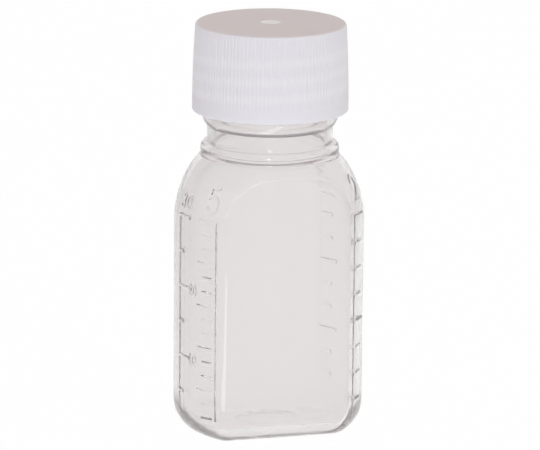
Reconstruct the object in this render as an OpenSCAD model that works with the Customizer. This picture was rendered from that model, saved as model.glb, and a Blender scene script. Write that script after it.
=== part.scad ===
// Graduated screw-cap specimen bottle, 30 mL, in clear moulded plastic.
//
// The blown body is a round bottle whose front and back are pressed flat, so its
// form is the overlap of a turned form and an upright slab. Both are drawn once and
// used twice, for the outside and, inset by the wall, for the hollow. The raised
// marks are set out from the volume that the hollow really holds. The cap screws
// down over the neck until its lining disc bears on the lip.
//
// Millimetres, +Z up. The origin is the middle of the standing face. The flat label
// panels face -Y (front) and +Y (back), the round sides face -X and +X.

/* [Body] */
// Width across the round sides
body_width = 36; // [32:0.5:42]
// Depth across the flat label panels
body_depth = 25.7; // [23:0.1:30]
// Height at which the round sides start to curve in
side_height = 41.1; // [34:0.1:70]
// Radius of the shoulder curve, from the sides up to the neck
shoulder_radius = 19; // [17.8:0.1:22]
// Radius of the heel between the sides and the base
heel_radius = 6; // [2.5:0.1:6.5]
// Height from the start of the shoulder to where the flat panels start to run out
panel_rise = 6.5; // [4:0.1:8]
// Radius of the hollow curve in which a panel runs out
runout_radius = 6; // [3:0.1:10]
// Thickness of the blown wall
wall = 1; // [0.6:0.05:1.4]
// Thickness of the base
base_thickness = 1.7; // [1:0.1:3]
// Width of the dished middle of the base
pushup_width = 11; // [6:0.5:12]
// Height of the dished middle of the base
pushup_height = 0.6; // [0.2:0.1:1.2]

/* [Neck] */
// Outside diameter of the neck, between its threads
neck_diameter = 23.8; // [22.6:0.1:25]
// Thickness of the neck's wall
neck_wall = 1.8; // [0.8:0.05:2.2]
// Height of the neck's threads above its surface
thread_depth = 1; // [0.6:0.05:1.2]
// How far the support bead stands out of the neck
bead_depth = 1.2; // [1:0.05:1.6]
// Height of the support bead
bead_height = 2.3; // [1.4:0.1:3]
// Rounding of the bead's upper edge
bead_round = 1.1; // [0.3:0.1:1.3]
// How far the collar under the cap stands out of the neck
collar_depth = 1.05; // [0.6:0.05:1.6]
// Radius of the collar's bowl-shaped underside
collar_radius = 3; // [1.7:0.1:3.6]
// Height from the top of the bead to the top of the collar
collar_rise = 5.8; // [4:0.1:9]
// Height of the threaded neck above the collar
thread_height = 14.5; // [11:0.1:20]
// Rounding of the lip
lip_round = 0.3; // [0.1:0.05:0.4]

/* [Cap] */
// Thickness of the cap's wall at its rim
rim_wall = 1.53; // [1.2:0.01:2.4]
// Thickness of the cap's wall at its top
crown_wall = 1; // [0.8:0.01:1.2]
// Rounding of the cap's top edge
crown_round = 0.9; // [0.3:0.1:1.2]
// Thickness of the cap's top
crown_thickness = 1.4; // [1:0.1:2]
// Gap between the closed cap's rim and the collar
rim_gap = 0.3; // [0.1:0.05:1]
// Running gap between the neck's threads and the cap's wall, all round
thread_clearance = 0.3; // [0.1:0.05:0.4]
// Number of grip ribs round the cap
rib_count = 120; // [60:1:120]
// Depth of the grooves between the ribs
rib_depth = 0.2; // [0.05:0.05:0.4]
// Height of the smooth band below the ribs
rim_band = 2; // [1:0.1:5]
// Width of the dimple left by the moulding gate
gate_width = 3.9; // [2:0.1:5]
// Depth of the dimple left by the moulding gate
gate_depth = 0.45; // [0.1:0.05:0.6]

/* [Lining disc] */
// Thickness of the lining disc
liner_thickness = 1; // [0.6:0.1:2]
// Gap all round between the disc and the cap's wall
liner_clearance = 0.3; // [0.1:0.05:0.6]

/* [Scales] */
// Volume at the top mark of every scale, in mL
full_volume = 30; // [24:1:30]
// Volume at the foot of every scale, in mL
foot_volume = 2; // [0:0.5:4]
// Marks on the volume scale, every second one long
volume_marks = 6; // [2:2:12]
// How far the marks stand out of the wall
mark_height = 0.3; // [0.1:0.05:0.5]
// Width of the marks
mark_width = 0.5; // [0.3:0.05:0.7]
// Length of a long mark on the dose scales
long_mark = 4.3; // [2:0.1:5]
// Length of a short mark on the dose scales
short_mark = 3; // [1:0.1:4]
// Length of a long mark on the volume scale
long_volume_mark = 3.7; // [2:0.1:4]
// Length of a short mark on the volume scale
short_volume_mark = 1.6; // [1:0.1:2]

/* [Hidden] */
$fn = 96;
side_r = body_width / 2;
panel_y = body_depth / 2;
panel_height = side_height + panel_rise;
shoulder_x = side_r - shoulder_radius;
neck_r = neck_diameter / 2;
bore_r = neck_r - neck_wall;
thread_r = neck_r + thread_depth;
bead_r = neck_r + bead_depth;
collar_r = neck_r + collar_depth;
bead_z = side_height + shoulder_rise(bead_r);
bead_top = bead_z + bead_height;
collar_top = bead_top + collar_rise;
lip_z = collar_top + thread_height;
rim_z = collar_top + rim_gap;
ceiling_z = lip_z + liner_thickness;
crown_z = ceiling_z + crown_thickness;
cap_height = crown_z - rim_z;
cap_bore_r = thread_r + thread_clearance;
liner_r = cap_bore_r - liner_clearance;
rib_top = cap_height - crown_round;
// How far a cutting shape runs past the face that it cuts
past = 1;

// The hollow's level cross-section: half chord along a panel, angle of half a round side,
// area and length round the edge
hollow_r = side_r - wall;
hollow_y = panel_y - wall;
half_chord = sqrt(pow(hollow_r, 2) - pow(hollow_y, 2));
round_angle = asin(hollow_y / hollow_r);
round_length = hollow_r * round_angle * PI / 180;
hollow_area = 2 * (hollow_y * half_chord + hollow_r * round_length);
hollow_girth = 4 * (half_chord + round_length);
// Volume that the rounded heel and the dished floor take from a straight-sided hollow
heel_volume = (1 - PI / 4) * pow(heel_radius - wall, 2) * hollow_girth;
floor_width = pushup_width + 2 * wall;
dish_volume = PI * pushup_height / 6 * (3 * pow(floor_width / 2, 2) + pow(pushup_height, 2));

// The scales: angle of the upright line from the middle of the front panel, which way
// round its marks point, how many marks, how many to each long one, and their lengths
SCALES = [
    [-49, -1, 15, 3, long_mark, short_mark],
    [-84, 1, volume_marks, 2, long_volume_mark, short_volume_mark],
    [48, 1, 8, 4, long_mark, short_mark],
    [131, -1, 9, 3, long_mark, short_mark]
];

// Height of the shoulder curve above side_height where its radius is r
function shoulder_rise(r) = sqrt(pow(shoulder_radius, 2) - pow(r - shoulder_x, 2));

// Height of the liquid's surface when the bottle holds v mL
function level(v) = base_thickness + (1000 * v + heel_volume + dish_volume) / hollow_area;

// Outside radius of the cap at height h above its rim, on a slight barrel curve
function cap_r(h) = cap_bore_r + rim_wall - (rim_wall - crown_wall) * pow(h / cap_height, 2);

// Rectangle from x = 0 out to r, between two heights
module band(r, z_low, z_high) {
    translate([0, z_low])
        square([r, z_high - z_low]);
}

// Half outline of the turned form, inset by t, standing on z_floor
module side_outline(t, z_floor) {
    r = side_r - t;
    heel = heel_radius - t;
    band(r, z_floor + heel, side_height);
    band(r - heel, z_floor, z_floor + heel);
    translate([r - heel, z_floor + heel])
        circle(heel);
    intersection() {
        band(r, side_height, side_height + shoulder_radius);
        translate([shoulder_x, side_height])
            circle(shoulder_radius - t);
    }
}

// Outline of the upright slab seen along X, inset by t, standing on z_floor.
// Above panel_height it flares in a hollow curve on both sides.
module panel_outline(t, z_floor) {
    y = panel_y - t;
    heel = heel_radius - t;
    flare = runout_radius + t;
    flare_top = panel_height + flare;
    translate([-y, z_floor + heel])
        square([2 * y, panel_height - z_floor - heel]);
    translate([heel - y, z_floor])
        square([2 * (y - heel), 2 * heel]);
    for (side = [-1, 1])
        translate([side * (y - heel), z_floor + heel])
            circle(heel);
    difference() {
        translate([-y - flare, panel_height])
            square([2 * (y + flare), flare]);
        for (side = [-1, 1])
            translate([side * (y + flare), panel_height])
                circle(flare);
    }
    translate([-y - flare, flare_top])
        square([2 * (y + flare), side_height + shoulder_radius]);
}

// Round bottle with its front and back pressed flat, inset by t
module pressed_form(t, z_floor) {
    intersection() {
        rotate_extrude()
            side_outline(t, z_floor);
        rotate([90, 0, 90])
            linear_extrude(body_width + 2 * past, center = true)
                panel_outline(t, z_floor);
    }
}

// Half outline of the neck with its bead, collar and rounded lip
module neck_outline() {
    band(neck_r, side_height, lip_z - lip_round);
    band(neck_r - lip_round, lip_z - lip_round, lip_z);
    translate([neck_r - lip_round, lip_z - lip_round])
        circle(lip_round);
    band(bead_r, bead_z - past, bead_top - bead_round);
    band(bead_r - bead_round, bead_top - bead_round, bead_top);
    translate([bead_r - bead_round, bead_top - bead_round])
        circle(bead_round);
    intersection() {
        band(collar_r, collar_top - collar_radius, collar_top);
        translate([collar_r - collar_radius, collar_top])
            circle(collar_radius);
    }
}

// Shallow dish of the given width and height that rises from z_rim
module dish(width, height, z_rim) {
    r = (pow(width / 2, 2) + pow(height, 2)) / (2 * height);
    translate([0, 0, z_rim + height - r])
        sphere(r);
}

// Raised bar on the round wall: from angle on through sweep, between two heights
module bar(angle, sweep, z_low, z_high) {
    rotate([0, 0, angle - 90])
        rotate_extrude(angle = sweep)
            translate([side_r - wall / 2, z_low])
                square([wall / 2 + past, z_high - z_low]);
}

// One scale: an upright line with its marks, as a row of SCALES gives it
module scale_bars(angle, way, marks, to_long, long_length, short_length) {
    degrees = 180 / (PI * side_r);
    line = mark_width * degrees;
    bar(angle - line / 2, line, level(foot_volume), level(full_volume));
    for (i = [1:marks]) {
        is_long = (marks - i) % to_long == 0;
        reach = (is_long ? long_length : short_length) * degrees;
        z = level(full_volume * i / marks);
        bar(way > 0 ? angle : angle - reach, reach, z - mark_width / 2, z + mark_width / 2);
    }
}

// All the scales, trimmed to stand mark_height proud of the round wall
module graduations() {
    intersection() {
        rotate_extrude()
            side_outline(-mark_height, -mark_height);
        union() {
            for (s = SCALES)
                scale_bars(s[0], s[1], s[2], s[3], s[4], s[5]);
        }
    }
}

module bottle() {
    color([0.86, 0.85, 0.85, 0.45])
        difference() {
            union() {
                pressed_form(0, 0);
                rotate_extrude()
                    neck_outline();
                graduations();
            }
            difference() {
                pressed_form(wall, base_thickness);
                dish(floor_width, pushup_height, base_thickness);
            }
            translate([0, 0, side_height])
                cylinder(h = lip_z + past - side_height, r = bore_r);
            dish(pushup_width, pushup_height, 0);
        }
}

// Half outline of the cap's outside, inset by t, up to the start of its rounded edge
module skirt_outline(t) {
    steps = 2;
    side = [for (i = [0:steps]) [cap_r(rib_top * i / steps) - t, rib_top * i / steps]];
    polygon(concat([[0, 0]], side, [[0, rib_top]]));
}

// Half outline of the cap's whole outside
module cap_outline() {
    skirt_outline(0);
    band(cap_r(rib_top) - crown_round, rib_top, cap_height);
    translate([cap_r(rib_top) - crown_round, rib_top])
        circle(crown_round);
}

// The grooves between the grip ribs, each half a rib pitch wide
module grooves() {
    half = 360 / rib_count / 4;
    outer = cap_r(0) + past;
    inner = cap_bore_r + crown_wall / 2;
    difference() {
        translate([0, 0, rim_band])
            linear_extrude(rib_top - rim_band)
                for (i = [0:rib_count - 1])
                    rotate(360 * i / rib_count)
                        polygon([
                            [inner * cos(half), -inner * sin(half)],
                            [outer * cos(half), -outer * sin(half)],
                            [outer * cos(half), outer * sin(half)],
                            [inner * cos(half), inner * sin(half)]
                        ]);
        rotate_extrude()
            skirt_outline(rib_depth);
    }
}

module screw_cap() {
    color([0.94, 0.94, 0.95])
        difference() {
            translate([0, 0, rim_z])
                difference() {
                    rotate_extrude()
                        cap_outline();
                    grooves();
                }
            translate([0, 0, rim_z - past])
                cylinder(h = ceiling_z - rim_z + past, r = cap_bore_r);
            translate([0, 0, crown_z])
                mirror([0, 0, 1])
                    dish(gate_width, gate_depth, 0);
        }
}

module cap_liner() {
    color([0.97, 0.97, 0.96])
        translate([0, 0, lip_z])
            cylinder(h = liner_thickness, r = liner_r);
}

bottle();
screw_cap();
cap_liner();
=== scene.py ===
"""Graduated screw-cap specimen bottle, 30 mL, in clear plastic with a white cap.

Run as a script by Blender, this dresses the packed parts of the bottle: the blown
body with its raised scales, the moulded screw cap and the lining disc inside it. Each
piece is made round the part that it stands for, and a small studio shows them.
"""
import math

import bmesh
import bpy
import numpy as np
from mathutils import Matrix, Vector


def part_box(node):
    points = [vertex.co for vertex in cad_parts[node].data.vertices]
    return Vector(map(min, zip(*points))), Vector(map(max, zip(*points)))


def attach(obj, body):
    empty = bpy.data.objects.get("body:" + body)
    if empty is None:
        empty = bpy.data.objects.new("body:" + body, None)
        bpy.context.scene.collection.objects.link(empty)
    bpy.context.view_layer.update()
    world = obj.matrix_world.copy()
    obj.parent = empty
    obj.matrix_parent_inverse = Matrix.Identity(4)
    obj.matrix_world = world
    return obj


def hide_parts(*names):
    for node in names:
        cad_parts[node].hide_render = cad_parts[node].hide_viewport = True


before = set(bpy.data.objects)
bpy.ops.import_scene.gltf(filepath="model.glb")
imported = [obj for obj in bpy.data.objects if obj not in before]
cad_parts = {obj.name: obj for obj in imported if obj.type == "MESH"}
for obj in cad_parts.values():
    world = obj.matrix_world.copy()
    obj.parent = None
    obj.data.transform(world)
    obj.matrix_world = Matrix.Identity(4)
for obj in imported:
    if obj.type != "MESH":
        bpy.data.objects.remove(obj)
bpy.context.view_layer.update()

bl_info = {
    "name": "Specimen bottle",
    "version": (1, 0, 0),
    "blender": (4, 5, 0),
    "location": "View3D > Sidebar > Bottle",
    "description": "Dresses the packed parts of a graduated screw-cap specimen bottle",
    "category": "Object",
}

MM = 0.001
BOTTLE_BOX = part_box("bottle")
CAP_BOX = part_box("screw_cap")
LINER_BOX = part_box("cap_liner")
CAP_TOP = CAP_BOX[1].z
CAP_RIM = CAP_BOX[0].z
LIP = BOTTLE_BOX[1].z
CEILING = LINER_BOX[1].z
# Points nearer than the first are one point of a half section, and vertices nearer than the
# second are welded
SAME_PLACE = 0.0001 * MM
WELD = 0.001 * MM
# Edges that turn by more than this are shaded sharp
SHARP_ANGLE = math.radians(35)


# ---------------------------------------------------------------- settings


def length(name, description, metres):
    """A size in metres, shown with its unit."""
    return bpy.props.FloatProperty(
        name=name, description=description, default=metres, unit="LENGTH", precision=5
    )


def linear(hex_colour):
    """An sRGB hex colour as linear red, green, blue and alpha."""
    shares = [int(hex_colour[i : i + 2], 16) / 255 for i in (1, 3, 5)]
    return tuple(s / 12.92 if s <= 0.04045 else ((s + 0.055) / 1.055) ** 2.4 for s in shares) + (1,)


def colour(name, description, hex_colour):
    """A colour with alpha, given in sRGB hex."""
    return bpy.props.FloatVectorProperty(
        name=name, description=description, subtype="COLOR", size=4, min=0, max=1,
        default=linear(hex_colour),
    )


class BottleSizes(bpy.types.PropertyGroup):
    """Sizes of the blown body, its neck and its raised scales."""

    side_radius: length("Side radius", "Radius of the round sides", 18 * MM)
    panel_half: length("Panel distance", "From the axis to a flat panel", 12.85 * MM)
    side_height: length("Side height", "Where the sides start to curve in", 41.1 * MM)
    shoulder_radius: length("Shoulder radius", "Radius of the shoulder curve", 19 * MM)
    heel_radius: length("Heel radius", "Radius between sides and base", 6 * MM)
    panel_height: length("Panel height", "Where the panels start to run out", 47.6 * MM)
    runout_radius: length("Run-out radius", "Radius in which a panel runs out", 6 * MM)
    wall: length("Wall", "Thickness of the blown wall", 1 * MM)
    base: length("Base", "Thickness of the base", 1.7 * MM)
    dish_radius: length("Dish radius", "Radius of the dished middle of the base", 5.5 * MM)
    dish_height: length("Dish height", "Height of the dished middle of the base", 0.6 * MM)
    outer_crease: length("Outer crease", "How far the outer pressed edges blend", 0.65 * MM)
    inner_crease: length("Inner crease", "How far the inner pressed edges blend", 0.9 * MM)
    neck_radius: length("Neck radius", "Outside radius between the threads", 11.9 * MM)
    bore_radius: length("Bore radius", "Radius of the neck's bore", 10.1 * MM)
    throat_flare: length("Throat flare", "How far the bore widens down to the collar", 0.5 * MM)
    throat_round: length("Throat rounding", "Rounding from the bore into the body", 3 * MM)
    bead_radius: length("Bead radius", "Radius of the support bead", 13.1 * MM)
    bead_height: length("Bead height", "Height of the support bead", 2.3 * MM)
    bead_round: length("Bead rounding", "Rounding of the bead's upper edge", 1.1 * MM)
    bead_foot: length("Bead foot", "Rounding from the shoulder into the bead", 0.8 * MM)
    collar_radius: length("Collar radius", "Radius of the collar under the cap", 12.95 * MM)
    collar_bowl: length("Collar bowl", "Radius of the collar's underside", 4 * MM)
    collar_rise: length("Collar rise", "From the bead's top to the collar's", 5.8 * MM)
    lip_round: length("Lip rounding", "Rounding of the lip's outer edge", 0.3 * MM)
    mark_width: length("Mark width", "Width of the raised marks", 0.5 * MM)
    mark_height: length("Mark height", "How far the marks stand out", 0.3 * MM)
    column_count: bpy.props.IntProperty(
        name="Columns", description="Mesh columns round the body", default=216, min=96
    )


class ThreadSizes(bpy.types.PropertyGroup):
    """Sizes of the screw thread that neck and cap share."""

    pitch: length("Pitch", "Rise of the thread in one turn", 3.3 * MM)
    neck_start: length("Neck start", "Neck ridge's middle over the cap's rim, in front", 2.9 * MM)
    cap_start: length("Cap start", "Cap ridge's middle over the cap's rim, in front", 1.5 * MM)
    foot: length("Foot width", "Width of a ridge where it leaves the wall", 1.7 * MM)
    crest: length("Crest width", "Width of a ridge at its top", 0.6 * MM)
    neck_depth: length("Neck ridge", "Height of the neck's ridge", 0.95 * MM)
    cap_depth: length("Cap ridge", "Height of the ridge inside the cap", 0.9 * MM)
    turns: bpy.props.FloatProperty(
        name="Turns", description="Turns of thread on the neck", default=2.75, min=1, max=4
    )
    fade: bpy.props.FloatProperty(
        name="Fade", description="Turn in which a ridge's end dies away", default=0.09,
        min=0.01, max=0.4,
    )


class CapSizes(bpy.types.PropertyGroup):
    """Sizes of the screw cap and the disc inside it."""

    bore_radius: length("Bore radius", "Inside radius of the cap", 13.2 * MM)
    rim_radius: length("Rim radius", "Outside radius at the rim", CAP_BOX[1].x)
    top_radius: length("Top radius", "Outside radius at the top", 14.2 * MM)
    crown_round: length("Crown rounding", "Rounding of the top edge", 0.6 * MM)
    rim_band: length("Rim band", "Height of the smooth band at the rim", 2 * MM)
    rib_depth: length("Rib depth", "Depth of the grooves between ribs", 0.1 * MM)
    rib_count: bpy.props.IntProperty(name="Ribs", description="Grip ribs", default=120, min=24)
    gate_radius: length("Gate radius", "Radius of the dimple in the top", 1.95 * MM)
    gate_depth: length("Gate depth", "Depth of the dimple in the top", 0.8 * MM)
    liner_dent: length("Disc dent", "How far the lip has dented the disc", 0.06 * MM)


class FinishColours(bpy.types.PropertyGroup):
    """Colours of the three mouldings and the studio."""

    clear: colour("Clear plastic", "Tint of light through the body", "#F3F1F1")
    cap: colour("Cap", "White of the moulded cap", "#F1F2F8")
    # Painted shade: the top is painted greyer than the wall, for the dimmer light from overhead
    shaded_cap_top: colour("Cap top", "White of the cap's thin top", "#E0DAD9")
    # Painted light: the cap is painted lighter where the thicker wall over the thread throws back more
    # light
    cap_lit_over_thread: colour("Cap over the thread", "White where the wall is thicker", "#F4F5FB")
    # Painted highlight: the gate's dimple is painted pure white, brighter than the cap, for the
    # reflection in its bowl
    cap_gate_highlight: colour("Cap gate", "White of the dimple in the top", "#FFFFFF")
    liner: colour("Lining disc", "White of the foamed disc", "#F1F0EC")
    floor: colour("Floor", "Pale floor", "#F4F3F2")


# ---------------------------------------------------------------- meshes


def oval(x, z, width, height, start, end, steps):
    """Points on part of an oval, between two angles in degrees."""
    turns = [math.radians(start + (end - start) * i / steps) for i in range(steps + 1)]
    return [(x + width * math.cos(t), z + height * math.sin(t)) for t in turns]


def arc(centre, radius, start, end, steps):
    """Points (r, z) on an arc about centre, between two angles in degrees."""
    return oval(*centre, radius, radius, start, end, steps)


def spin_profile(runs, columns):
    """A closed turned mesh from runs of (label, step, points), joined end to end.

    Each stretch longer than its run's step is divided. The label stays on the vertices
    of its run, in the layer "run".
    """
    mesh = bmesh.new()
    run_layer = mesh.verts.layers.float.new("run")
    last = None
    for label, step, points in runs:
        for r, z in points:
            place = Vector((r, 0, z))
            if last is not None and (place - last.co).length < SAME_PLACE:
                continue
            parts = 1 if last is None else max(1, math.ceil((place - last.co).length / step))
            start = None if last is None else last.co.copy()
            for i in range(1, parts + 1):
                vertex = mesh.verts.new(place if start is None else start.lerp(place, i / parts))
                vertex[run_layer] = label
                if last is not None:
                    mesh.edges.new((last, vertex))
                last = vertex
    bmesh.ops.spin(
        mesh, geom=mesh.verts[:] + mesh.edges[:], cent=(0, 0, 0), axis=(0, 0, 1),
        angle=math.tau, steps=columns, use_merge=True, use_duplicate=False,
    )
    bmesh.ops.remove_doubles(mesh, verts=mesh.verts, dist=WELD)
    bmesh.ops.recalc_face_normals(mesh, faces=mesh.faces)
    return mesh, run_layer


def finish_piece(mesh, name, material, body, node):
    """Makes the mesh an object that stands for a CAD node and rides on its body."""
    for layer in list(mesh.verts.layers.float.values()):
        mesh.verts.layers.float.remove(layer)
    bmesh.ops.triangulate(mesh, faces=[f for f in mesh.faces if len(f.verts) > 4])
    for face in mesh.faces:
        face.smooth = True
    data = bpy.data.meshes.new(name)
    mesh.to_mesh(data)
    mesh.free()
    data.set_sharp_from_angle(angle=SHARP_ANGLE)
    data.materials.append(material)
    piece = bpy.data.objects.new(name, data)
    bpy.context.scene.collection.objects.link(piece)
    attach(piece, body)
    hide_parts(node)
    return piece


def polar(vertex):
    """Radius and angle of a vertex, the angle in radians from the front, -Y, towards +X."""
    return math.hypot(vertex.co.x, vertex.co.y), math.atan2(vertex.co.x, -vertex.co.y)


def set_polar(vertex, radius, angle):
    """Moves a vertex to that radius and angle at its own height."""
    vertex.co.x = radius * math.sin(angle)
    vertex.co.y = -radius * math.cos(angle)


def ramp(value):
    """Smooth step from 0 to 1."""
    value = min(max(value, 0), 1)
    return value * value * (3 - 2 * value)


def soft_min(a, b, blend):
    """The smaller of two distances, blended where they are closer than blend."""
    h = min(max(0.5 + 0.5 * (b - a) / blend, 0), 1)
    return b + (a - b) * h - blend * h * (1 - h)


# ---------------------------------------------------------------- bottle

# Labels of the bottle's runs: which are pressed flat, dished or threaded
PLAIN, BODY_OUT, BODY_IN, FOOT_OUT, FOOT_IN, THREAD = range(6)
# Where the wall faces so far to the side that no panel cuts it, as the cosine of its angle
SIDEWAYS = 0.05
# Where the marks may stand, on the round sides only, as the cosine of the angle
MARKED_SIDE = 0.74
# How far the pressed edges of the standing face blend
FOOT_CREASE = 0.4 * MM
# The mesh's columns: how far each side of a pressed edge they gather, how many gather there,
# and the share of a quarter's columns on the flat of a panel
CREASE_REACH = 1.1 * MM
CREASE_COLUMNS = 8
FLAT_SHARE = 0.27
# The mesh is finer where a panel runs out: from this far under the run-out, and where the two
# forms lie this close together
RUNOUT_REACH = 3 * MM
RUNOUT_GAP = 1 * MM


def side_profile(sizes, inset, floor, z):
    """Radius of the turned form at height z, inset by a wall and standing on floor."""
    heel = sizes.heel_radius - inset
    if z < floor + heel:
        drop = floor + heel - z
        return sizes.side_radius - inset - heel + math.sqrt(max(heel**2 - drop**2, 0))
    if z < sizes.side_height:
        return sizes.side_radius - inset
    arc_radius = sizes.shoulder_radius - inset
    rise = z - sizes.side_height
    centre = sizes.side_radius - sizes.shoulder_radius
    return centre + math.sqrt(max(arc_radius**2 - rise**2, 0))


def panel_profile(sizes, inset, floor, z):
    """Distance of a flat panel from the axis plane at height z, or None above its run-out."""
    heel = sizes.heel_radius - inset
    flat = sizes.panel_half - inset
    if z < floor + heel:
        drop = floor + heel - z
        return flat - heel + math.sqrt(max(heel**2 - drop**2, 0))
    if z < sizes.panel_height:
        return flat
    flare = sizes.runout_radius + inset
    rise = z - sizes.panel_height
    return None if rise >= flare else flat + flare - math.sqrt(flare**2 - rise**2)


def pressed_radius(sizes, inset, floor, blend, angle, z):
    """Radius of the pressed body at an angle and height, and how far apart its forms lie."""
    side = side_profile(sizes, inset, floor, z)
    panel = panel_profile(sizes, inset, floor, z)
    across = abs(math.cos(angle))
    if panel is None or across < SIDEWAYS:
        return side, math.inf
    return soft_min(side, panel / across, blend), panel / across - side


def column_plan(sizes):
    """Angles of the mesh columns, gathered at the pressed edges and on the round sides."""
    crease = math.acos(sizes.panel_half / sizes.side_radius)
    near = CREASE_REACH / sizes.side_radius
    quarter = sizes.column_count // 4
    on_flat = round(quarter * FLAT_SHARE)
    on_side = quarter - CREASE_COLUMNS - on_flat
    stops = [
        np.linspace(0, crease - near, on_flat + 1),
        np.linspace(crease - near, crease + near, CREASE_COLUMNS + 1),
        np.linspace(crease + near, math.pi / 2, on_side + 1),
    ]
    first = np.unique(np.concatenate(stops).round(9))
    back = first[::-1]
    return np.concatenate([first[:-1], math.pi - back[:-1], math.pi + first[:-1], math.tau - back])


# The strokes of each figure in a box 1 wide and 1 tall
NUMERALS = {
    "0": oval(0.5, 0.5, 0.5, 0.5, 90, 450, 16),
    "1": [(0.15, 0.76), (0.55, 1), (0.55, 0)],
    "2": oval(0.5, 0.7, 0.48, 0.3, 165, -38, 10) + [(0, 0), (1, 0)],
    "3": oval(0.46, 0.76, 0.44, 0.24, 155, -90, 9) + oval(0.46, 0.26, 0.54, 0.26, 90, -155, 11),
    "5": [(0.92, 1), (0.16, 1), (0.06, 0.58)] + oval(0.44, 0.33, 0.54, 0.33, 128, -150, 12),
}
# Each scale: the angle of its upright line from the front, which way round its marks point,
# how many marks it has, how many to each long one, the length of the long and the short
# ones, and their share of the full height. The upright line has that share of their height
SCALES = [
    (-49.7, -1, 15, 3, 4.3 * MM, 3 * MM, 1),
    (-84, 1, 6, 2, 3.7 * MM, 1.6 * MM, 0.75),
    (48, 1, 8, 4, 4.3 * MM, 3 * MM, 0.7),
    (131, -1, 9, 3, 4.3 * MM, 3 * MM, 0.5),
]
# Each number: its figures, the angle of its middle, the height of its foot, a figure's
# width, height and spacing, and its strokes' share of the full width and height
NUMBERS = [
    ("5", -53.8, 45.3 * MM, 2.5 * MM, 4.4 * MM, 0, 0.85, 0.8),
    ("2", 57.5, 46.1 * MM, 2.5 * MM, 4.3 * MM, 0, 0.85, 0.6),
    ("3", 126, 45.3 * MM, 2.5 * MM, 4.4 * MM, 0, 0.85, 0.5),
    ("30", -78.5, 44.9 * MM, 1.35 * MM, 2.4 * MM, 2.2 * MM, 0.3, 0.45),
    ("20", -68.6, 28.7 * MM, 0.85 * MM, 2.0 * MM, 1.35 * MM, 0.3, 0.45),
    ("10", -68.6, 15.1 * MM, 0.85 * MM, 2.0 * MM, 1.35 * MM, 0.3, 0.45),
]
# Volumes in mL at the foot and the top of a scale's upright line
LOWEST_VOLUME, FULL_VOLUME = 2, 30
# Where the level would stand for 0 mL on a straight scale, and its rise for each mL
ZERO_LEVEL = 2.49 * MM
LEVEL_PER_ML = 1.361 * MM
# A stroke's flank: how far it reaches past the half width, and how wide it is
STROKE_SPREAD = 0.16 * MM
STROKE_FLANK = 0.2 * MM
# How far past a stroke's half width the mesh is finer
STROKE_REACH = 0.42 * MM


def volume_level(volume):
    """Height of the liquid's surface, in metres, when the bottle holds volume mL."""
    return ZERO_LEVEL + LEVEL_PER_ML * volume


def raised_strokes(sizes):
    """Every raised stroke as x0, z0, x1, z1, half width, height on the unrolled side."""
    around = sizes.side_radius * math.pi / 180
    half, height = sizes.mark_width / 2, sizes.mark_height
    strokes = []
    for angle, way, marks, to_long, long_mark, short_mark, share in SCALES:
        x = angle * around
        ends = volume_level(LOWEST_VOLUME), volume_level(FULL_VOLUME)
        strokes.append((x, ends[0], x, ends[1], half, height * share * share))
        for i in range(1, marks + 1):
            reach = long_mark if (marks - i) % to_long == 0 else short_mark
            z = volume_level(FULL_VOLUME * i / marks)
            strokes.append((x, z, x + way * reach, z, half, height * share))
    for figures, angle, foot, width, tall, spacing, fine, low in NUMBERS:
        for i, figure in enumerate(figures):
            left = angle * around - width / 2 + (i - (len(figures) - 1) / 2) * spacing
            points = [(left + x * width, foot + z * tall) for x, z in NUMERALS[figure]]
            for (x0, z0), (x1, z1) in zip(points, points[1:]):
                strokes.append((x0, z0, x1, z1, half * fine, height * low))
    return np.array(strokes)


def stroke_distances(strokes, x, z):
    """Distance of a point of the unrolled side from the middle line of every stroke."""
    start, run = strokes[:, 0:2], strokes[:, 2:4] - strokes[:, 0:2]
    reach = np.array((x, z)) - start
    share = np.clip((reach * run).sum(1) / np.maximum((run * run).sum(1), 1e-12), 0, 1)
    return np.hypot(*(reach - share[:, None] * run).T)


def stroke_relief(strokes, x, z):
    """How far the wall is raised at a point of the unrolled side."""
    foot = strokes[:, 4] + STROKE_SPREAD
    rise = np.clip((foot - stroke_distances(strokes, x, z)) / STROKE_FLANK, 0, 1)
    return float((strokes[:, 5] * rise * rise * (3 - 2 * rise)).max())


# Where each ridge begins and ends, in turns from its start height in front
NECK_FIRST_TURN = 0.1
CAP_TURNS = (0.3, 3.4)


def thread_height(thread, depth, start, first, last, angle, z):
    """Height of a helical ridge at an angle and height.

    start is how high over the cap's rim its middle would be at turn 0, in front; the ridge
    runs from turn first to turn last.
    """
    turn = angle / math.tau
    best = 0
    for lap in range(math.floor(first), math.ceil(last) + 1):
        along = lap + turn
        if not first <= along <= last:
            continue
        away = abs(z - CAP_RIM - start - along * thread.pitch)
        flank = (thread.foot - thread.crest) / 2
        rise = ramp((thread.foot / 2 - away) / flank)
        fade = ramp((along - first) / thread.fade) * ramp((last - along) / thread.fade)
        best = max(best, depth * rise * fade)
    return best


def neck_thread(thread, angle, z):
    """Height of the neck's thread above its wall."""
    last = NECK_FIRST_TURN + thread.turns
    return thread_height(thread, thread.neck_depth, thread.neck_start, NECK_FIRST_TURN, last, angle, z)


def cap_thread(thread, angle, z):
    """Height of the cap's thread inside its wall, a little under half a pitch below the neck's."""
    return thread_height(thread, thread.cap_depth, thread.cap_start, *CAP_TURNS, angle, z)


# The neck's small edges: the rounding between bead and neck, how far the bead's top rises
# to it, the collar's upper edge, the slope between collar and neck, and the lip's inner edge
NECK_FOOT_ROUND = 0.25 * MM
BEAD_SLOPE = 0.02 * MM
COLLAR_ROUND = 0.12 * MM
COLLAR_SLOPE = 0.2 * MM
LIP_INNER_ROUND = 0.2 * MM


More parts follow.
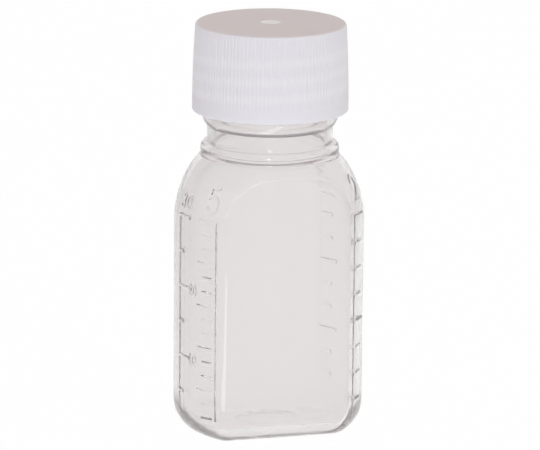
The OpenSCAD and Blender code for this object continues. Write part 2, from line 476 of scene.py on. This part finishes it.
def bottle_runs(sizes):
    """The bottle's half section, from the middle of its base round to the middle of its floor.

    Each run is its label, the longest edge of its mesh and its points (r, z).
    """
    s = sizes
    heel_r = s.side_radius - s.heel_radius
    centre = s.side_radius - s.shoulder_radius
    bead_z = s.side_height + math.sqrt(s.shoulder_radius**2 - (s.bead_radius - centre) ** 2)
    bead_top = bead_z + s.bead_height
    collar_top = bead_top + s.collar_rise
    dish_r = (s.dish_radius**2 + s.dish_height**2) / (2 * s.dish_height)
    dish_turn = math.degrees(math.asin(s.dish_radius / dish_r))
    dish = arc((0, s.dish_height - dish_r), dish_r, 90, 90 - dish_turn, 6)
    foot_r = s.shoulder_radius + s.bead_foot
    foot_x = s.bead_radius + s.bead_foot
    foot_turn = math.degrees(math.acos((foot_x - centre) / foot_r))
    foot_z = s.side_height + foot_r * math.sin(math.radians(foot_turn))
    bead_corner = (s.bead_radius - s.bead_round, bead_top - s.bead_round)
    neck_foot = (s.neck_radius + NECK_FOOT_ROUND, bead_top + BEAD_SLOPE + NECK_FOOT_ROUND)
    bowl_x = s.collar_radius - s.collar_bowl
    bowl_turn = math.degrees(math.acos((s.neck_radius - bowl_x) / s.collar_bowl))
    collar_corner = (s.collar_radius - COLLAR_ROUND, collar_top - COLLAR_ROUND)
    lip_corner = (s.neck_radius - s.lip_round, LIP - s.lip_round)
    lip_inner = (s.bore_radius + LIP_INNER_ROUND, LIP - LIP_INNER_ROUND)
    flared_bore = s.bore_radius + s.throat_flare
    inner_r = s.shoulder_radius - s.wall
    throat_x = flared_bore + s.throat_round
    throat_turn = math.degrees(math.acos((throat_x - centre) / (inner_r + s.throat_round)))
    throat_z = s.side_height + (inner_r + s.throat_round) * math.sin(math.radians(throat_turn))
    inner_heel = s.heel_radius - s.wall
    inner_side = s.side_radius - s.wall
    heel_corner = (inner_side - inner_heel, s.base + inner_heel)
    floor_dish_radius = s.dish_radius + s.wall
    floor_r = (floor_dish_radius**2 + s.dish_height**2) / (2 * s.dish_height)
    floor_turn = math.degrees(math.asin(floor_dish_radius / floor_r))
    floor_centre = (0, s.base + s.dish_height - floor_r)
    return [
        (PLAIN, 1 * MM, dish),
        (FOOT_OUT, 0.9 * MM, [(heel_r, 0)]),
        (BODY_OUT, 0.8 * MM, arc((heel_r, s.heel_radius), s.heel_radius, -90, 0, 14)),
        (BODY_OUT, 0.7 * MM, [(s.side_radius, s.side_height)]),
        (BODY_OUT, 0.8 * MM, arc((centre, s.side_height), s.shoulder_radius, 0, foot_turn, 26)),
        (PLAIN, 0.5 * MM, arc((foot_x, foot_z), s.bead_foot, 180 + foot_turn, 180, 4)[1:]),
        (PLAIN, 0.5 * MM, arc(bead_corner, s.bead_round, 0, 88, 7)),
        (PLAIN, 0.8 * MM, arc(neck_foot, NECK_FOOT_ROUND, -90, -180, 3)),
        (PLAIN, 0.8 * MM, arc((bowl_x, collar_top), s.collar_bowl, -bowl_turn, -4, 7)),
        (PLAIN, 0.5 * MM, arc(collar_corner, COLLAR_ROUND, 0, 90, 3)),
        (PLAIN, 0.5 * MM, [(s.neck_radius + COLLAR_SLOPE, collar_top)]),
        (PLAIN, 0.5 * MM, [(s.neck_radius, collar_top + COLLAR_SLOPE)]),
        (THREAD, 0.3 * MM, [(s.neck_radius, LIP - s.lip_round)]),
        (PLAIN, 0.5 * MM, arc(lip_corner, s.lip_round, 0, 90, 4)),
        (PLAIN, 0.5 * MM, arc(lip_inner, LIP_INNER_ROUND, 90, 180, 3)),
        (PLAIN, 2.0 * MM, [(flared_bore, collar_top)]),
        (PLAIN, 2.0 * MM, [(flared_bore, throat_z)]),
        (PLAIN, 0.8 * MM, arc((throat_x, throat_z), s.throat_round, 180, 180 + throat_turn, 7)[:-1]),
        (BODY_IN, 0.9 * MM, arc((centre, s.side_height), inner_r, throat_turn, 0, 24)),
        (BODY_IN, 1.2 * MM, [(inner_side, s.base + inner_heel)]),
        (BODY_IN, 0.9 * MM, arc(heel_corner, inner_heel, 0, -90, 11)),
        (FOOT_IN, 0.9 * MM, [(floor_dish_radius, s.base)]),
        (PLAIN, 1 * MM, arc(floor_centre, floor_r, 90 - floor_turn, 90, 6)),
    ]


def refine_faces(mesh, chosen, cuts):
    """Divides the chosen faces' edges, in the mesh's own order."""
    chosen = set(chosen)
    edges = [edge for edge in mesh.edges if not chosen.isdisjoint(edge.link_faces)]
    if edges:
        bmesh.ops.subdivide_edges(mesh, edges=edges, cuts=cuts, use_grid_fill=True)


def face_polar(face):
    """Angle and height of a face's middle."""
    middle = face.calc_center_median()
    return math.atan2(middle.x, -middle.y), middle.z


def blown_bottle(sizes, thread):
    """The mesh of the body: a turned shell, pressed flat front and back, with its scales raised."""
    mesh, run = spin_profile(bottle_runs(sizes), sizes.column_count)
    plan = column_plan(sizes)
    even = np.linspace(0, math.tau, len(plan))
    for vertex in mesh.verts:
        radius, angle = polar(vertex)
        set_polar(vertex, radius, float(np.interp(angle % math.tau, even, plan)))

    skins = {
        BODY_OUT: (0, 0, sizes.outer_crease),
        BODY_IN: (sizes.wall, sizes.base, sizes.inner_crease),
    }

    def skin_of(face):
        labels = {round(v[run]) for v in face.verts}
        return labels.pop() if len(labels) == 1 else None

    near_crease = []
    for face in mesh.faces:
        label = skin_of(face)
        if label in skins:
            angle, z = face_polar(face)
            gap = pressed_radius(sizes, *skins[label], angle, z)[1]
            if z > sizes.panel_height - RUNOUT_REACH and abs(gap) < RUNOUT_GAP:
                near_crease.append(face)
    refine_faces(mesh, near_crease, 2)

    strokes = raised_strokes(sizes)
    reach = strokes[:, 4] + STROKE_REACH
    near_mark = []
    for face in mesh.faces:
        if skin_of(face) == BODY_OUT:
            angle, z = face_polar(face)
            if (stroke_distances(strokes, angle * sizes.side_radius, z) < reach).any():
                near_mark.append(face)
    refine_faces(mesh, near_mark, 3)

    foot_radius = sizes.side_radius - sizes.heel_radius
    foot_half = sizes.panel_half - sizes.heel_radius
    dishes = {FOOT_OUT: sizes.dish_radius, FOOT_IN: sizes.dish_radius + sizes.wall}
    for vertex in mesh.verts:
        radius, angle = polar(vertex)
        label = round(vertex[run])
        z = vertex.co.z
        if label in skins:
            radius = pressed_radius(sizes, *skins[label], angle, z)[0]
            if label == BODY_OUT and abs(math.cos(angle)) < MARKED_SIDE:
                radius += stroke_relief(strokes, angle * sizes.side_radius, z)
        elif label in dishes:
            inner = dishes[label]
            across = max(abs(math.cos(angle)), SIDEWAYS)
            edge = soft_min(foot_radius, foot_half / across, FOOT_CREASE)
            radius = inner + (radius - inner) / (foot_radius - inner) * (edge - inner)
        elif label == THREAD:
            radius += neck_thread(thread, angle, z)
        else:
            continue
        set_polar(vertex, radius, angle)
    return mesh


# ---------------------------------------------------------------- cap and disc

# Labels of the cap's runs; the disc's are all plain
CAP_PLAIN, CAP_RIBBED, CAP_THREAD = range(3)
# The mesh has this many columns for each rib, and a groove's flank takes this share of a rib
COLUMNS_PER_RIB = 4
FLANK_SHARE = 0.16
# The height in which a groove runs out over the rim band
RIB_RUNOUT = 0.4 * MM
# Small edges: the rim's outer and inner rounding, and the slope between bore and ceiling
RIM_ROUND = 0.25 * MM
RIM_INNER_ROUND = 0.3 * MM
CEILING_SLOPE = 0.2 * MM
# How far under the ceiling the thread's wall ends
THREAD_CLEARANCE = 1.6 * MM
# The disc: the rounding of its edge, the slope each side of the ring that the lip presses
# into it, and the mesh's columns
DISC_ROUND = 0.12 * MM
DENT_SLOPE = 0.3 * MM
DISC_COLUMNS = 128


def barrel_radius(sizes, z):
    """Outside radius of the cap at height z, on its slight barrel curve."""
    share = (z - CAP_RIM) / (CAP_TOP - CAP_RIM)
    return sizes.rim_radius - (sizes.rim_radius - sizes.top_radius) * share**2


def cap_runs(sizes):
    """The cap's half section, from the middle of its top round to the middle of its ceiling."""
    s = sizes
    rib_top = CAP_TOP - s.crown_round
    crown_x = barrel_radius(s, rib_top) - s.crown_round
    rib_foot = CAP_RIM + s.rim_band
    ribs = [rib_top - (rib_top - rib_foot) * i / 14 for i in range(15)]
    skirt = [rib_foot - (s.rim_band - RIM_ROUND) * i / 3 for i in range(1, 4)]
    bowl_r = (s.gate_radius**2 + s.gate_depth**2) / (2 * s.gate_depth)
    bowl_turn = math.degrees(math.asin(s.gate_radius / bowl_r))
    bowl_centre = (0, CAP_TOP - s.gate_depth + bowl_r)
    rim_corner = (barrel_radius(s, CAP_RIM) - RIM_ROUND, CAP_RIM + RIM_ROUND)
    rim_inner = (s.bore_radius + RIM_INNER_ROUND, CAP_RIM + RIM_INNER_ROUND)
    ceiling_edge = [
        (s.bore_radius, CEILING - CEILING_SLOPE),
        (s.bore_radius - CEILING_SLOPE, CEILING),
    ]
    return [
        (CAP_PLAIN, 1 * MM, arc(bowl_centre, bowl_r, -90, -90 + bowl_turn, 8)),
        (CAP_PLAIN, 3 * MM, [(crown_x, CAP_TOP)]),
        (CAP_PLAIN, 1 * MM, arc((crown_x, rib_top), s.crown_round, 90, 8, 7)),
        (CAP_RIBBED, 1.2 * MM, [(barrel_radius(s, z), z) for z in ribs]),
        (CAP_PLAIN, 1 * MM, [(barrel_radius(s, z), z) for z in skirt]),
        (CAP_PLAIN, 1 * MM, arc(rim_corner, RIM_ROUND, 0, -90, 3)),
        (CAP_PLAIN, 1 * MM, arc(rim_inner, RIM_INNER_ROUND, -90, -180, 3)),
        (CAP_THREAD, 0.34 * MM, [(s.bore_radius, CEILING - THREAD_CLEARANCE)]),
        (CAP_PLAIN, 1 * MM, ceiling_edge),
        (CAP_PLAIN, 5 * MM, [(0, CEILING)]),
    ]


def moulded_cap(sizes, thread):
    """The mesh of the cap: a turned shell with grip ribs outside and a thread inside."""
    mesh, run = spin_profile(cap_runs(sizes), sizes.rib_count * COLUMNS_PER_RIB)
    pitch = math.tau / sizes.rib_count
    rib_foot = CAP_RIM + sizes.rim_band
    places = np.array([0, 0.5 - FLANK_SHARE, 0.5, 1 - FLANK_SHARE, 1]) * pitch
    even = np.linspace(0, pitch, COLUMNS_PER_RIB + 1)
    # Keeps a column that stands on the edge between two ribs in the second one
    nudge = 1e-6
    for vertex in mesh.verts:
        radius, angle = polar(vertex)
        label = round(vertex[run])
        if radius < WELD:
            continue
        rib, within = divmod(angle + nudge, pitch)
        column = round(within / pitch * COLUMNS_PER_RIB) % COLUMNS_PER_RIB
        angle = rib * pitch + float(np.interp(within - nudge, even, places))
        z = vertex.co.z
        # The first two columns bound a groove's floor, the other two a rib's crest
        if label == CAP_RIBBED and column in (0, 1):
            radius -= sizes.rib_depth * ramp((z - rib_foot) / RIB_RUNOUT)
        elif label == CAP_THREAD:
            radius -= cap_thread(thread, angle, z)
        set_polar(vertex, radius, angle)
    return mesh


def lining_disc(sizes, bottle):
    """The mesh of the lining disc, with the ring that the lip has pressed into it."""
    edge_x = LINER_BOX[1].x - DISC_ROUND
    lip_in, lip_out = bottle.bore_radius, bottle.neck_radius
    dent = LIP + sizes.liner_dent
    runs = [
        (CAP_PLAIN, 3 * MM, [(0, LIP), (lip_in - DENT_SLOPE, LIP)]),
        (CAP_PLAIN, 1 * MM, [(lip_in, dent), (lip_out, dent), (lip_out + DENT_SLOPE, LIP)]),
        (CAP_PLAIN, 1 * MM, arc((edge_x, LIP + DISC_ROUND), DISC_ROUND, -90, 0, 3)),
        (CAP_PLAIN, 1 * MM, arc((edge_x, CEILING - DISC_ROUND), DISC_ROUND, 0, 90, 3)),
        (CAP_PLAIN, 3 * MM, [(0, CEILING)]),
    ]
    return spin_profile(runs, DISC_COLUMNS)[0]


# ---------------------------------------------------------------- materials


def add_node(tree, kind, inputs=None, **settings):
    """Adds a node with its settings, and fills or links its inputs.

    A node given for an input stands for its first output.
    """
    made = tree.nodes.new(kind)
    for key, value in settings.items():
        setattr(made, key, value)
    for socket, value in (inputs or {}).items():
        if isinstance(value, bpy.types.Node):
            value = value.outputs[0]
        if isinstance(value, bpy.types.NodeSocket):
            tree.links.new(value, made.inputs[socket])
        else:
            made.inputs[socket].default_value = value
    return made


def new_material(name):
    """An empty node material and its tree."""
    material = bpy.data.materials.new(name)
    material.use_nodes = True
    material.node_tree.nodes.clear()
    return material, material.node_tree


def blown_clear_plastic(colours):
    """Clear copolymer, blow moulded: glass-clear, with the faint waviness of a blown wall.

    Light from lamps and from the surroundings passes it, so that it throws no black shadow.
    """
    material, tree = new_material("Clear blow-moulded plastic")
    place = add_node(tree, "ShaderNodeTexCoord").outputs["Object"]
    # The wall's thickness wanders over about 9 mm
    wave = add_node(
        tree, "ShaderNodeTexNoise", {"Vector": place, "Scale": 1 / (9.09 * MM), "Detail": 1.5}
    )
    bump = add_node(
        tree, "ShaderNodeBump",
        {"Height": wave.outputs["Fac"], "Strength": 0.12, "Distance": 0.2 * MM},
    )
    clear = add_node(
        tree, "ShaderNodeBsdfPrincipled",
        {
            "Base Color": tuple(colours.clear), "Roughness": 0.07, "IOR": 1.49,
            "Transmission Weight": 0.95, "Normal": bump.outputs["Normal"],
        },
    )
    # Lamp light and scattered light pass nearly whole
    passing = add_node(tree, "ShaderNodeBsdfTransparent", {"Color": linear("#FAF9F9")})
    path = add_node(tree, "ShaderNodeLightPath")
    either = add_node(
        tree, "ShaderNodeMath",
        {0: path.outputs["Is Shadow Ray"], 1: path.outputs["Is Diffuse Ray"]},
        operation="MAXIMUM",
    )
    mix = add_node(tree, "ShaderNodeMixShader", {0: either, 1: clear, 2: passing})
    # Light loses a little in every millimetre, which darkens a wall that is seen edge-on
    murk = add_node(tree, "ShaderNodeVolumeAbsorption", {"Color": linear("#C9C5C3"), "Density": 8})
    add_node(tree, "ShaderNodeOutputMaterial", {"Surface": mix, "Volume": murk})
    return material


def moulded_white_plastic(colours, thread):
    """White polypropylene, injection moulded: satin, with painted light: lighter bands where the thread
    backs the wall, a greyer top and a pure white gate.
    """
    material, tree = new_material("White injection-moulded polypropylene")
    place = add_node(tree, "ShaderNodeTexCoord").outputs["Object"]
    split = add_node(tree, "ShaderNodeSeparateXYZ", {0: place})
    front = add_node(tree, "ShaderNodeMath", {0: split.outputs["Y"], 1: -1}, operation="MULTIPLY")
    turn = add_node(tree, "ShaderNodeMath", {0: split.outputs["X"], 1: front}, operation="ARCTAN2")
    # Height over the thread's middle line, which climbs one pitch a turn, on whichever lap
    climb = add_node(
        tree, "ShaderNodeMath", {0: turn, 1: thread.pitch / math.tau}, operation="MULTIPLY"
    )
    above = add_node(
        tree, "ShaderNodeMath", {0: split.outputs["Z"], 1: climb}, operation="SUBTRACT"
    )
    from_rim = add_node(
        tree, "ShaderNodeMath",
        {0: above, 1: CAP_RIM + thread.cap_start - thread.pitch / 2},
        operation="SUBTRACT",
    )
    lap = add_node(
        tree, "ShaderNodeMath", {0: from_rim, 1: thread.pitch}, operation="FLOORED_MODULO"
    )
    off = add_node(tree, "ShaderNodeMath", {0: lap, 1: thread.pitch / 2}, operation="SUBTRACT")
    away = add_node(tree, "ShaderNodeMath", {0: off}, operation="ABSOLUTE")
    band = add_node(
        tree, "ShaderNodeMapRange",
        {"Value": away, "From Min": 1.3 * MM, "From Max": 0.2 * MM},
        interpolation_type="SMOOTHSTEP",
    )
    # The thread backs the wall only above the smooth rim and below the lining disc
    low = add_node(
        tree, "ShaderNodeMapRange",
        {
            "Value": split.outputs["Z"],
            "From Min": CAP_RIM + 2 * MM, "From Max": CAP_RIM + 3 * MM,
        },
    )
    high = add_node(
        tree, "ShaderNodeMapRange",
        {
            "Value": split.outputs["Z"],
            "From Min": CAP_TOP - 3 * MM, "From Max": CAP_TOP - 4 * MM,
        },
    )
    inside = add_node(tree, "ShaderNodeMath", {0: low, 1: high}, operation="MULTIPLY")
    lit_band_mask = add_node(tree, "ShaderNodeMath", {0: band, 1: inside}, operation="MULTIPLY")
    # Painted light: the wall is painted lighter in bands over the thread, for the light the thicker
    # plastic throws back
    wall_with_lit_bands = add_node(
        tree, "ShaderNodeMix",
        {"Factor": lit_band_mask, 6: tuple(colours.cap), 7: tuple(colours.cap_lit_over_thread)},
        data_type="RGBA",
    )
    # Painted shade: the flat top is painted greyer, for the dimmer light that falls on it from overhead;
    # the dimple of the gate is painted pure white, a painted highlight for the bright reflection in its
    # bowl
    level = add_node(
        tree, "ShaderNodeMapRange",
        {
            "Value": split.outputs["Z"],
            "From Min": CAP_TOP - 0.35 * MM, "From Max": CAP_TOP - 0.05 * MM,
        },
    )
    shaded_top = add_node(
        tree, "ShaderNodeMix",
        {"Factor": level, 6: wall_with_lit_bands.outputs[2], 7: tuple(colours.shaded_cap_top)},
        data_type="RGBA",
    )
    flat = add_node(tree, "ShaderNodeCombineXYZ", {0: split.outputs["X"], 1: split.outputs["Y"]})
    out = add_node(tree, "ShaderNodeVectorMath", {0: flat}, operation="LENGTH")
    # Painted highlight: within about 2 mm of the middle the top takes the pure white of the gate
    ring = add_node(
        tree, "ShaderNodeMapRange",
        {"Value": out.outputs["Value"], "From Min": 1.8 * MM, "From Max": 2.0 * MM},
    )
    white = add_node(
        tree, "ShaderNodeMix",
        {"Factor": ring, 6: tuple(colours.cap_gate_highlight), 7: shaded_top.outputs[2]},
        data_type="RGBA",
    )
    # Flow marks of about 4 mm, and a spark-eroded grain, really finer and drawn at 0.25 mm
    flow = add_node(tree, "ShaderNodeTexNoise", {"Vector": place, "Scale": 1 / (3.85 * MM), "Detail": 2})
    gloss = add_node(
        tree, "ShaderNodeMapRange", {"Value": flow.outputs["Fac"], "To Min": 0.46, "To Max": 0.54}
    )
    grain = add_node(tree, "ShaderNodeTexNoise", {"Vector": place, "Scale": 1 / (0.25 * MM), "Detail": 1})
    bump = add_node(
        tree, "ShaderNodeBump",
        {"Height": grain.outputs["Fac"], "Strength": 0.03, "Distance": 0.02 * MM},
    )
    satin = add_node(
        tree, "ShaderNodeBsdfPrincipled",
        {
            "Base Color": white.outputs[2], "Roughness": gloss, "IOR": 1.49,
            "Specular IOR Level": 0.3, "Subsurface Weight": 0.6, "Subsurface Radius": (1, 1, 1),
            "Subsurface Scale": 0.8 * MM, "Normal": bump.outputs["Normal"],
        },
    )
    add_node(tree, "ShaderNodeOutputMaterial", {"Surface": satin})
    return material


def foamed_white_disc(colours):
    """Foamed polyethylene, die cut: matt, with its cells showing as a fine pebbling."""
    material, tree = new_material("White foamed polyethylene")
    place = add_node(tree, "ShaderNodeTexCoord").outputs["Object"]
    # Cells of about 0.3 mm
    cells = add_node(tree, "ShaderNodeTexVoronoi", {"Vector": place, "Scale": 1 / (0.303 * MM)})
    bump = add_node(
        tree, "ShaderNodeBump",
        {"Height": cells.outputs["Distance"], "Strength": 0.3, "Distance": 0.05 * MM},
    )
    shade = add_node(
        tree, "ShaderNodeMapRange",
        {"Value": cells.outputs["Distance"], "To Min": 0.62, "To Max": 0.78},
    )
    foam = add_node(
        tree, "ShaderNodeBsdfPrincipled",
        {
            "Base Color": tuple(colours.liner), "Roughness": shade, "IOR": 1.49,
            "Normal": bump.outputs["Normal"],
        },
    )
    add_node(tree, "ShaderNodeOutputMaterial", {"Surface": foam})
    return material


# The share of the floor that is plain white; the rest is paint, which takes the shadow
FLOOR_WHITE = 0.985


def pale_floor(colours):
    """Matt painted board: nearly white to the eye, to gloss and to clear plastic.

    The small share of plain paint left keeps a faint shadow.
    """
    material, tree = new_material("Pale matt board")
    board = add_node(tree, "ShaderNodeBsdfDiffuse", {"Color": tuple(colours.floor)})
    place = add_node(tree, "ShaderNodeTexCoord").outputs["Object"]
    path = add_node(tree, "ShaderNodeLightPath")
    sides = dim_to_the_sides(tree, place, 40 * MM, 200 * MM)
    level = add_node(tree, "ShaderNodeMix", {0: path.outputs["Is Camera Ray"], 2: sides, 3: 1.0})
    white = add_node(tree, "ShaderNodeEmission", {"Color": linear("#FFFFFF"), "Strength": level})
    direct = add_node(
        tree, "ShaderNodeMath",
        {0: path.outputs["Is Camera Ray"], 1: path.outputs["Is Glossy Ray"]},
        operation="MAXIMUM",
    )
    seen = add_node(
        tree, "ShaderNodeMath", {0: direct, 1: path.outputs["Is Transmission Ray"]},
        operation="MAXIMUM",
    )
    share = add_node(tree, "ShaderNodeMath", {0: seen, 1: FLOOR_WHITE}, operation="MULTIPLY")
    mix = add_node(tree, "ShaderNodeMixShader", {0: share, 1: board, 2: white})
    add_node(tree, "ShaderNodeOutputMaterial", {"Surface": mix})
    return material


# ---------------------------------------------------------------- studio

LAMPS = [
    # name, place, aim, width, length, power in watts
    ("Front lamp", (-0.24, -0.80, 0.31), (0, 0, 0.05), 0.10, 0.14, 0.55),
    ("Right fill", (0.60, -0.40, 0.30), (0, 0, 0.05), 0.40, 0.40, 0.3),
    ("Left fill", (-0.72, -0.02, 0.30), (0, 0, 0.05), 0.40, 0.40, 0.3),
    ("Standing strip", (-0.166, -0.577, 0.04), (0, 0, 0.048), 0.05, 0.07, 0.07),
    ("Floor strip", (-0.0091, -0.0859, 0.002), (-0.0089, -0.0869, 0.1), 0.02, 0.115, 0.02),
]
LAMP_COLOUR = linear("#ECF1FF")[:3]
CAMERA_PLACE = Vector((-234.8, -819.2, 245.0)) * MM
CAMERA_AIM = Vector((0.168, -0.048, 39.69)) * MM
# The lens in millimetres, and the roll in radians
CAMERA_LENS = 308.35
CAMERA_ROLL = 0.009635
# Level direction across the line of sight, how bright the studio is far to its sides, and
# how far the bright middle is shifted, as a share of the width in which the light falls off
ACROSS = Vector((-CAMERA_PLACE.y, CAMERA_PLACE.x, 0)).normalized()
SIDE_LEVEL = 0.75
SIDE_SHIFT = 0.25
# Half the floor's width
FLOOR_HALF = 3
# The floor lies this far under the standing face, so that the two don't flicker
FLOOR_GAP = 0.02 * MM
# Light passes the clear walls, or is thrown back inside them, many times over
WALL_BOUNCES = 32
GLOSS_BOUNCES = 24


def dim_to_the_sides(tree, place, start, end):
    """A level of 1 near the line of sight that falls between two distances to its sides.

    The left side is the dimmer one.
    """
    across = add_node(tree, "ShaderNodeVectorMath", {0: place, 1: ACROSS}, operation="DOT_PRODUCT")
    shifted = add_node(
        tree, "ShaderNodeMath", {0: across.outputs["Value"], 1: SIDE_SHIFT * (end - start)},
        operation="SUBTRACT",
    )
    away = add_node(tree, "ShaderNodeMath", {0: shifted}, operation="ABSOLUTE")
    level = add_node(
        tree, "ShaderNodeMapRange",
        {
            "Value": away, "From Min": start, "From Max": end,
            "To Min": 1, "To Max": SIDE_LEVEL,
        },
    )
    return level


def plain_world():
    """Soft light from all round, dimmer overhead, and white where the object is seen against it."""
    world = bpy.data.worlds.new("Plain studio")
    bpy.context.scene.world = world
    world.use_nodes = True
    tree = world.node_tree
    tree.nodes.clear()
    place = add_node(tree, "ShaderNodeTexCoord").outputs["Generated"]
    split = add_node(tree, "ShaderNodeSeparateXYZ", {0: place})
    height = add_node(
        tree, "ShaderNodeMapRange",
        {"Value": split.outputs["Z"], "From Min": 0.1, "From Max": 0.8},
    )
    # What lights the matt surfaces: less from overhead than from the horizon
    soft = add_node(tree, "ShaderNodeMix", {0: height, 2: 0.9, 3: 0.62})
    path = add_node(tree, "ShaderNodeLightPath")
    through = add_node(
        tree, "ShaderNodeMath",
        {0: path.outputs["Is Glossy Ray"], 1: path.outputs["Is Transmission Ray"]},
        operation="MAXIMUM",
    )
    even = add_node(tree, "ShaderNodeMix", {0: through, 2: soft, 3: 1.0})
    sides = dim_to_the_sides(tree, place, 0.4, 0.95)
    dimmed = add_node(tree, "ShaderNodeMath", {0: even, 1: sides}, operation="MULTIPLY")
    level = add_node(tree, "ShaderNodeMix", {0: path.outputs["Is Camera Ray"], 2: dimmed, 3: 1.0})
    # The light from overhead is a little warmer
    warmth = add_node(
        tree, "ShaderNodeMix",
        {"Factor": height, 6: linear("#FFFFFF"), 7: linear("#FFF4F1")},
        data_type="RGBA",
    )
    glow = add_node(tree, "ShaderNodeBackground", {"Color": warmth.outputs[2], "Strength": level})
    add_node(tree, "ShaderNodeOutputWorld", {"Surface": glow})


def aim_at(place, target, roll=0.0):
    """A matrix that puts a camera or lamp at place, looking at target."""
    forward = (Vector(target) - Vector(place)).normalized()
    right = forward.cross(Vector((0, 0, 1))).normalized()
    up = right.cross(forward)
    turned_right = math.cos(roll) * right + math.sin(roll) * up
    turned_up = math.cos(roll) * up - math.sin(roll) * right
    turn = Matrix((turned_right, turned_up, -forward)).transposed().to_4x4()
    return Matrix.Translation(place) @ turn


def add_camera():
    """The camera, at the height and turn from which the bottle is usually shown."""
    data = bpy.data.cameras.new("Camera")
    data.sensor_width = 36
    data.lens = CAMERA_LENS
    data.clip_start, data.clip_end = 0.01, 20
    camera = bpy.data.objects.new("Camera", data)
    bpy.context.scene.collection.objects.link(camera)
    camera.matrix_world = aim_at(CAMERA_PLACE, CAMERA_AIM, CAMERA_ROLL)
    bpy.context.scene.camera = camera


def add_lamps():
    """Soft lamps at a plain level."""
    for name, place, aim, width, height, power in LAMPS:
        data = bpy.data.lights.new(name, "AREA")
        data.shape = "RECTANGLE"
        data.size, data.size_y = width, height
        data.energy = power
        data.color = LAMP_COLOUR
        lamp = bpy.data.objects.new(name, data)
        bpy.context.scene.collection.objects.link(lamp)
        lamp.matrix_world = aim_at(place, aim)
        lamp.visible_camera = False
        lamp.visible_transmission = False


# ---------------------------------------------------------------- operators


class OBJECT_OT_bottle_studio(bpy.types.Operator):
    """Set up the floor, the backdrop, the lamps and the camera"""

    bl_idname = "object.bottle_studio"
    bl_label = "Studio"

    def execute(self, context):
        scene = context.scene
        scene.view_settings.view_transform = "Standard"
        scene.cycles.max_bounces = WALL_BOUNCES
        scene.cycles.transmission_bounces = WALL_BOUNCES
        scene.cycles.glossy_bounces = GLOSS_BOUNCES
        mesh = bmesh.new()
        bmesh.ops.create_grid(mesh, x_segments=1, y_segments=1, size=FLOOR_HALF)
        bmesh.ops.translate(mesh, verts=mesh.verts, vec=(0, 0, -FLOOR_GAP))
        data = bpy.data.meshes.new("Floor")
        mesh.to_mesh(data)
        mesh.free()
        data.materials.append(pale_floor(scene.bottle_finish))
        floor = bpy.data.objects.new("Floor", data)
        scene.collection.objects.link(floor)
        plain_world()
        add_lamps()
        add_camera()
        return {"FINISHED"}


class OBJECT_OT_bottle_body(bpy.types.Operator):
    """Build the clear blown body with its threads and raised scales"""

    bl_idname = "object.bottle_body"
    bl_label = "Clear body"

    def execute(self, context):
        scene = context.scene
        mesh = blown_bottle(scene.bottle_sizes, scene.bottle_thread)
        material = blown_clear_plastic(scene.bottle_finish)
        finish_piece(mesh, "clear_body", material, "bottle_body", "bottle")
        return {"FINISHED"}


class OBJECT_OT_bottle_cap(bpy.types.Operator):
    """Build the ribbed screw cap"""

    bl_idname = "object.bottle_cap"
    bl_label = "Screw cap"

    def execute(self, context):
        scene = context.scene
        mesh = moulded_cap(scene.bottle_cap, scene.bottle_thread)
        material = moulded_white_plastic(scene.bottle_finish, scene.bottle_thread)
        finish_piece(mesh, "ribbed_cap", material, "cap_body", "screw_cap")
        return {"FINISHED"}


class OBJECT_OT_bottle_disc(bpy.types.Operator):
    """Build the lining disc that seals the lip"""

    bl_idname = "object.bottle_disc"
    bl_label = "Lining disc"

    def execute(self, context):
        scene = context.scene
        mesh = lining_disc(scene.bottle_cap, scene.bottle_sizes)
        material = foamed_white_disc(scene.bottle_finish)
        finish_piece(mesh, "lining_disc_foam", material, "lining_disc", "cap_liner")
        return {"FINISHED"}


OPERATORS = [
    OBJECT_OT_bottle_studio,
    OBJECT_OT_bottle_body,
    OBJECT_OT_bottle_cap,
    OBJECT_OT_bottle_disc,
]
GROUPS = {
    "bottle_sizes": BottleSizes,
    "bottle_thread": ThreadSizes,
    "bottle_cap": CapSizes,
    "bottle_finish": FinishColours,
}


class VIEW3D_PT_bottle(bpy.types.Panel):
    """Lists the bottle's pieces and its settings"""

    bl_idname = "VIEW3D_PT_bottle"
    bl_label = "Specimen bottle"
    bl_space_type = "VIEW_3D"
    bl_region_type = "UI"
    bl_category = "Bottle"

    def draw(self, context):
        column = self.layout.column()
        for operator in OPERATORS:
            column.operator(operator.bl_idname)
        for key, group in GROUPS.items():
            box = column.box()
            box.label(text=group.__doc__)
            for name in group.__annotations__:
                box.prop(getattr(context.scene, key), name)


def register():
    for cls in [*GROUPS.values(), *OPERATORS, VIEW3D_PT_bottle]:
        bpy.utils.register_class(cls)
    for key, group in GROUPS.items():
        setattr(bpy.types.Scene, key, bpy.props.PointerProperty(type=group))


def unregister():
    for key in GROUPS:
        delattr(bpy.types.Scene, key)
    for cls in reversed([*GROUPS.values(), *OPERATORS, VIEW3D_PT_bottle]):
        bpy.utils.unregister_class(cls)


def main():
    register()
    bpy.ops.object.bottle_studio()
    bpy.ops.object.bottle_body()
    bpy.ops.object.bottle_cap()
    bpy.ops.object.bottle_disc()


if __name__ == "__main__":
    main()
